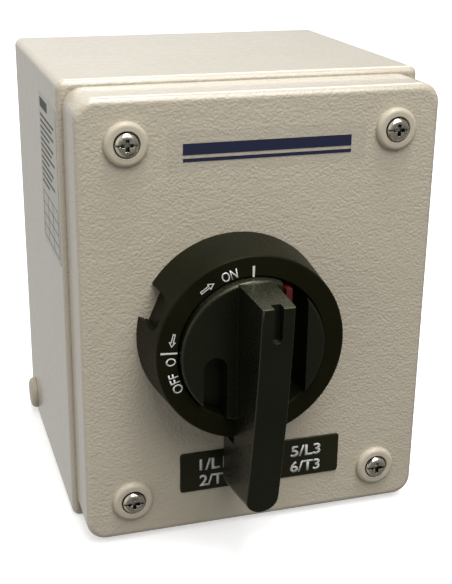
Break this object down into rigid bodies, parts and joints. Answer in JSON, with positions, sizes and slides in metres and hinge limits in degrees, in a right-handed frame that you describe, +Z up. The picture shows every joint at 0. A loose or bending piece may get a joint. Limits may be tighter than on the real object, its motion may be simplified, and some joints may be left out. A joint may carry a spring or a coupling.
{
  "type": "enclosed motor switch",
  "caption": "Wall-mounted steel box with a screwed cover, a padlockable rotary on-off handle and a rotary motor switch inside.",
  "frame": {"origin": "centre of the rear face, in the plane of the wall", "axes": "+Z up, +Y into the wall, the front with the handle faces -Y, +X to the right as seen from the front"},
  "size_m": [0.162, 0.209, 0.2],
  "materials": {
    "cream_paint": "fine wrinkle powder coat",
    "cream_plastic": "smooth moulded",
    "zinc_steel": "zinc plated",
    "spring_steel": "bright wire",
    "black_plastic": "fine moulded grain",
    "red_plastic": "moulded",
    "seal_rubber": "foam and sheet rubber",
    "clear_film": "clear film",
    "label_foil": "printed foil",
    "legend_black": "printed plate",
    "grey_plastic": "thermoset moulding",
    "rotor_plastic": "moulded",
    "white_nylon": "nylon",
    "contact_brass": "stamped"
  },
  "bodies": {
    "enclosure": {"enclosure_body": "cream_paint", "wall_plug": "cream_plastic", "rivet_nuts": "zinc_steel", "rating_label": "label_foil", "earth_stud": "zinc_steel", "earth_washers": "zinc_steel", "earth_nuts": "zinc_steel", "cover_gasket": "seal_rubber", "rail_standoffs": "zinc_steel", "top_hat_rail": "zinc_steel", "rail_screws": "zinc_steel", "terminal_housing": "grey_plastic", "terminal_bars": "contact_brass", "terminal_bar_screws": "zinc_steel", "switch_foot": "grey_plastic", "rail_latch": "zinc_steel", "pole_deck_1": "grey_plastic", "pole_deck_2": "grey_plastic", "pole_deck_3": "grey_plastic", "fixed_contacts": "contact_brass", "terminal_screws": "zinc_steel", "snap_housing": "grey_plastic", "snap_rollers": "zinc_steel", "snap_springs": "spring_steel", "front_plate": "grey_plastic", "stack_bolts": "zinc_steel", "stack_nuts": "zinc_steel"},
    "rotor_shaft": {"rotor_1": "rotor_plastic", "rotor_2": "rotor_plastic", "rotor_3": "rotor_plastic", "moving_contacts": "contact_brass", "star_wheel": "rotor_plastic", "square_shaft": "zinc_steel", "shaft_collar": "black_plastic"},
    "cover": {"cover": "cream_paint", "cup_washers": "cream_plastic", "cover_screws": "zinc_steel", "captive_rings": "white_nylon", "front_film": "clear_film", "legend_plate": "legend_black", "handle_ring": "black_plastic", "ring_seal": "seal_rubber", "ring_screws": "zinc_steel"},
    "handle": {"handle_lever": "black_plastic", "thrust_washer": "white_nylon", "shaft_socket": "zinc_steel", "hub_circlip": "zinc_steel"},
    "padlock_slide": {"padlock_slide": "red_plastic"}
  },
  "joints": [
    {"name": "cover_lift", "type": "slide", "parent": "enclosure", "child": "cover", "axis": [0, -1, 0], "range_m": [0, 0.08]},
    {"name": "handle_turn", "type": "hinge", "parent": "cover", "child": "handle", "pos_m": [-0.0122, -0.16, -0.0024], "axis": [0, -1, 0], "range_deg": [0, 90]},
    {"name": "shaft_turn", "type": "hinge", "parent": "enclosure", "child": "rotor_shaft", "pos_m": [-0.0122, -0.06, -0.0024], "axis": [0, -1, 0], "range_deg": [0, 90]},
    {"name": "padlock_pull", "type": "slide", "parent": "handle", "child": "padlock_slide", "axis": [0, -1, 0], "range_m": [0, 0.005]}
  ],
  "couplings": [
    {"joint": "shaft_turn", "follows": "handle_turn", "ratio": 1}
  ]
}
